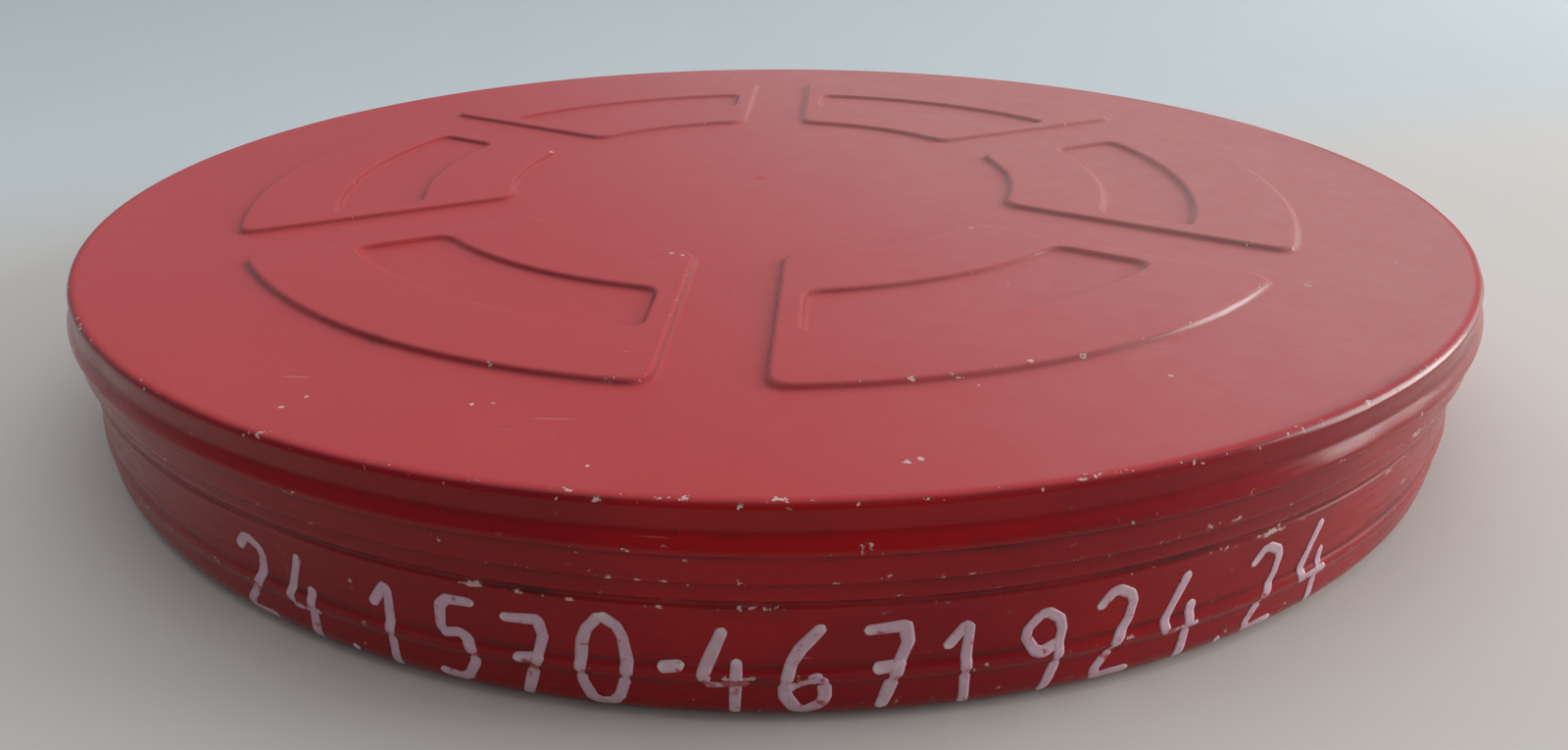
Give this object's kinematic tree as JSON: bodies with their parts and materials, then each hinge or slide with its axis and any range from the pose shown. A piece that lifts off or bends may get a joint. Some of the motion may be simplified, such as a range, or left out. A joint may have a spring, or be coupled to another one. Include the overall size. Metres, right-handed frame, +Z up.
{
  "type": "film can",
  "caption": "Round pressed-metal can with an embossed lid that lifts off, holding a flanged metal reel of wound motion-picture film.",
  "frame": {"origin": "centre of the can's foot plane", "axes": "+Z up along the can's axis; +X through the middle of a raised panel of the lid"},
  "size_m": [0.3849, 0.385, 0.0463],
  "materials": {
    "can_paint": "gloss red enamel, worn",
    "lid_paint": "faded red enamel, satin",
    "reel_steel": "tinned, dulled",
    "zinc_steel": "zinc plated",
    "rivet_steel": "satin",
    "film_stock": "edge of wound film",
    "leader_stock": "white leader",
    "paper_tape": "aged paper tape"
  },
  "bodies": {
    "can": {"can_base": "can_paint"},
    "lid": {"can_lid": "lid_paint"},
    "reel": {"lower_flange": "reel_steel", "upper_flange": "reel_steel", "hub_drum": "reel_steel", "lower_hub_plate": "zinc_steel", "upper_hub_plate": "zinc_steel", "spindle_sleeve": "zinc_steel", "film_pack": "film_stock", "leader_tail": "leader_stock", "tail_tape": "paper_tape", "lower_rivet_1": "rivet_steel", "lower_rivet_2": "rivet_steel", "lower_rivet_3": "rivet_steel", "lower_rivet_4": "rivet_steel", "lower_rivet_5": "rivet_steel", "lower_rivet_6": "rivet_steel", "upper_rivet_1": "rivet_steel", "upper_rivet_2": "rivet_steel", "upper_rivet_3": "rivet_steel", "upper_rivet_4": "rivet_steel", "upper_rivet_5": "rivet_steel", "upper_rivet_6": "rivet_steel"}
  },
  "joints": [
    {"name": "lid_lift", "type": "slide", "parent": "can", "child": "lid", "axis": [0, 0, 1], "range_m": [0, 0.09]},
    {"name": "reel_turn", "type": "hinge", "parent": "can", "child": "reel", "pos_m": [0, 0, 0.02], "axis": [0, 0, 1], "continuous": true}
  ]
}
